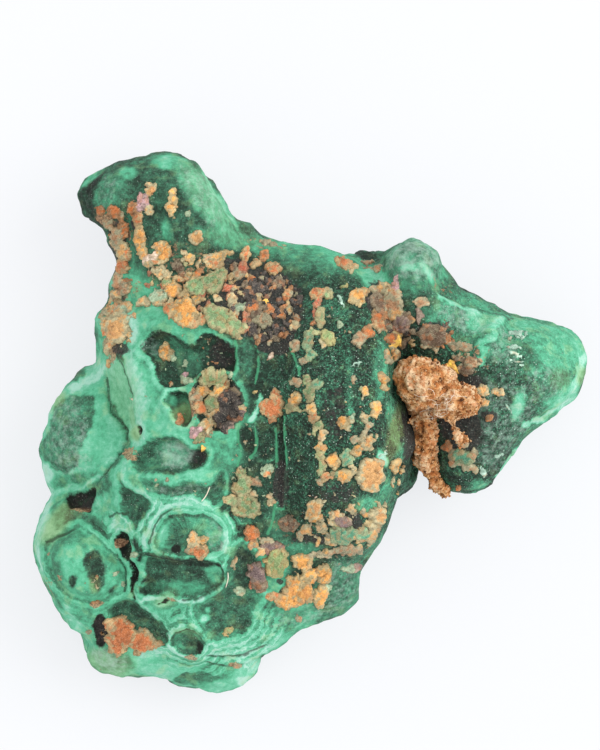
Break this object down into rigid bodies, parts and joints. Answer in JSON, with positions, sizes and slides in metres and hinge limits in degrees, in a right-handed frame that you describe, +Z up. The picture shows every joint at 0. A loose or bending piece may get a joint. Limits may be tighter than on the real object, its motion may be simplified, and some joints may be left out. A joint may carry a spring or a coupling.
{
  "type": "malachite specimen",
  "caption": "Free-lying lump of banded green malachite with rounded lobes, iron-brown filling in a cleft and a scattered orange and olive mineral crust.",
  "frame": {"origin": "on the surface the specimen lies on, under the middle of its plan", "axes": "+X from the banded lobes towards the pointed lobe, +Y towards the horn, +Z up out of the banded side"},
  "size_m": [0.0598, 0.0586, 0.0267],
  "materials": {
    "malachite": "natural, satin on smooth lobes and velvety in the hollows",
    "limonite": "earthy, matte and crumbly",
    "crust_amber": "matte, grainy",
    "crust_olive": "matte, grainy",
    "crust_dark": "matte, spongy"
  },
  "bodies": {
    "root": {"malachite_stone": "malachite", "limonite_bridge": "limonite", "crust_salmon_plate": "crust_amber", "crust_salmon_wedge": "crust_amber", "crust_ring_plate": "crust_amber", "crust_pit_plate": "crust_olive", "crust_pit_black": "crust_dark", "crust_amber_plate": "crust_amber", "crust_olive_band": "crust_olive", "crust_olive_disc": "crust_olive", "crust_horn_left": "crust_amber", "crust_horn_right": "crust_amber", "crust_shoulder_plate": "crust_amber", "crust_spongy_left": "crust_dark", "crust_spongy_right": "crust_dark", "crust_star_plate": "crust_amber", "crust_tall_plate": "crust_amber", "crust_large_oval": "crust_amber", "crust_olive_patch": "crust_olive", "crust_brown_lump": "crust_dark", "crust_fern_plate": "crust_olive", "crust_teal_plate": "crust_olive", "crust_purple_plate": "crust_dark", "crust_plum_plate": "crust_dark", "crust_amber_cluster": "crust_amber", "crust_amber_tail": "crust_amber", "crust_brown_crumb": "crust_dark"}
  },
  "joints": []
}
